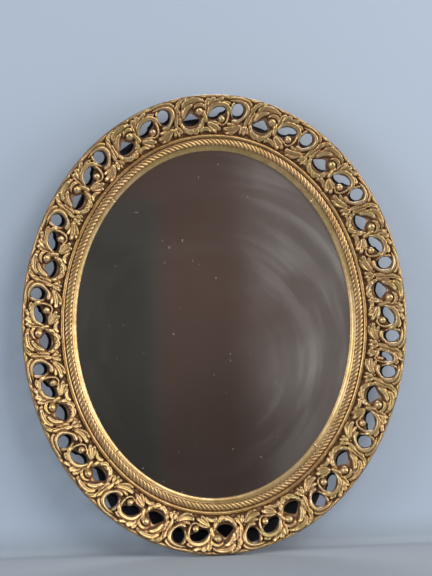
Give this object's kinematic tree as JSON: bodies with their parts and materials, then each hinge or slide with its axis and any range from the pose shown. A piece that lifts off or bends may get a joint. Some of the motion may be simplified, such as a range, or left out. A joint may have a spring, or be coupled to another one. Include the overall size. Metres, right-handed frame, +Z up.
{
  "type": "oval wall mirror",
  "caption": "Oval wall mirror in a gilded openwork scroll border with rope-twist and bead mouldings; turn buttons hold the backboard and a swinging ring hangs it.",
  "frame": {"origin": "centre of the oval on the plane of the wall", "axes": "+Z up, +Y into the wall, so the glass faces -Y, and +X to the right seen from the front"},
  "size_m": [0.548, 0.0507, 0.648],
  "materials": {
    "gilded_composition": "aged gold leaf over red bole on moulded composition, dark wax in the hollows",
    "gilded_wood": "aged gold leaf on gessoed wood at the front, bare wood at the back",
    "gilded_rope": "aged gold leaf on a moulded rope-twist strip",
    "gilded_hoop": "dark worn gilding on a bent lath",
    "mirror_glass": "old silvered glass with a wiped haze",
    "packing_card": "grey-brown packing card",
    "backboard_wood": "thin plywood, aged",
    "tongue_wood": "plain hardwood",
    "button_brass": "dull sheet brass",
    "hanger_brass": "dull brass",
    "screw_steel": "aged steel"
  },
  "bodies": {
    "frame": {"ring_segment_top": "gilded_wood", "ring_segment_right": "gilded_wood", "ring_segment_bottom": "gilded_wood", "ring_segment_left": "gilded_wood", "joint_tongue_top_right": "tongue_wood", "joint_tongue_right_bottom": "tongue_wood", "joint_tongue_bottom_left": "tongue_wood", "joint_tongue_left_top": "tongue_wood", "rope_strip_upper_right": "gilded_rope", "rope_strip_lower_right": "gilded_rope", "rope_strip_lower_left": "gilded_rope", "rope_strip_upper_left": "gilded_rope", "hoop_lath_1": "gilded_hoop", "hoop_lath_2": "gilded_hoop", "hoop_lath_3": "gilded_hoop", "hoop_lath_4": "gilded_hoop", "border_casting_01": "gilded_composition", "border_casting_02": "gilded_composition", "border_casting_03": "gilded_composition", "border_casting_04": "gilded_composition", "border_casting_05": "gilded_composition", "border_casting_06": "gilded_composition", "border_casting_07": "gilded_composition", "border_casting_08": "gilded_composition", "border_casting_09": "gilded_composition", "border_casting_10": "gilded_composition", "border_casting_11": "gilded_composition", "border_casting_12": "gilded_composition", "border_casting_13": "gilded_composition", "border_casting_14": "gilded_composition", "border_casting_15": "gilded_composition", "border_casting_16": "gilded_composition", "border_casting_make_up": "gilded_composition", "mirror_glass": "mirror_glass", "packing_card": "packing_card", "backboard": "backboard_wood", "button_screws": "screw_steel", "plate_screws": "screw_steel", "hanging_plate": "hanger_brass"},
    "turn_button_1": {"turn_button_1": "button_brass"},
    "turn_button_2": {"turn_button_2": "button_brass"},
    "turn_button_3": {"turn_button_3": "button_brass"},
    "turn_button_4": {"turn_button_4": "button_brass"},
    "turn_button_5": {"turn_button_5": "button_brass"},
    "turn_button_6": {"turn_button_6": "button_brass"},
    "hanging_ring": {"hanging_ring": "hanger_brass"}
  },
  "joints": [
    {"name": "turn_button_1_swivel", "type": "hinge", "parent": "frame", "child": "turn_button_1", "pos_m": [0.1073, -0.006, 0.22606], "axis": [0, 1, 0], "range_deg": [-90, 90]},
    {"name": "turn_button_2_swivel", "type": "hinge", "parent": "frame", "child": "turn_button_2", "pos_m": [0.212, -0.006, 0], "axis": [0, 1, 0], "range_deg": [-90, 90]},
    {"name": "turn_button_3_swivel", "type": "hinge", "parent": "frame", "child": "turn_button_3", "pos_m": [0.1073, -0.006, -0.22606], "axis": [0, 1, 0], "range_deg": [-90, 90]},
    {"name": "turn_button_4_swivel", "type": "hinge", "parent": "frame", "child": "turn_button_4", "pos_m": [-0.1073, -0.006, -0.22606], "axis": [0, 1, 0], "range_deg": [-90, 90]},
    {"name": "turn_button_5_swivel", "type": "hinge", "parent": "frame", "child": "turn_button_5", "pos_m": [-0.212, -0.006, 0], "axis": [0, 1, 0], "range_deg": [-90, 90]},
    {"name": "turn_button_6_swivel", "type": "hinge", "parent": "frame", "child": "turn_button_6", "pos_m": [-0.1073, -0.006, 0.22606], "axis": [0, 1, 0], "range_deg": [-90, 90]},
    {"name": "hanging_ring_swing", "type": "hinge", "parent": "frame", "child": "hanging_ring", "pos_m": [0, -0.0036, 0.2615], "axis": [1, 0, 0], "range_deg": [0, 180]}
  ]
}
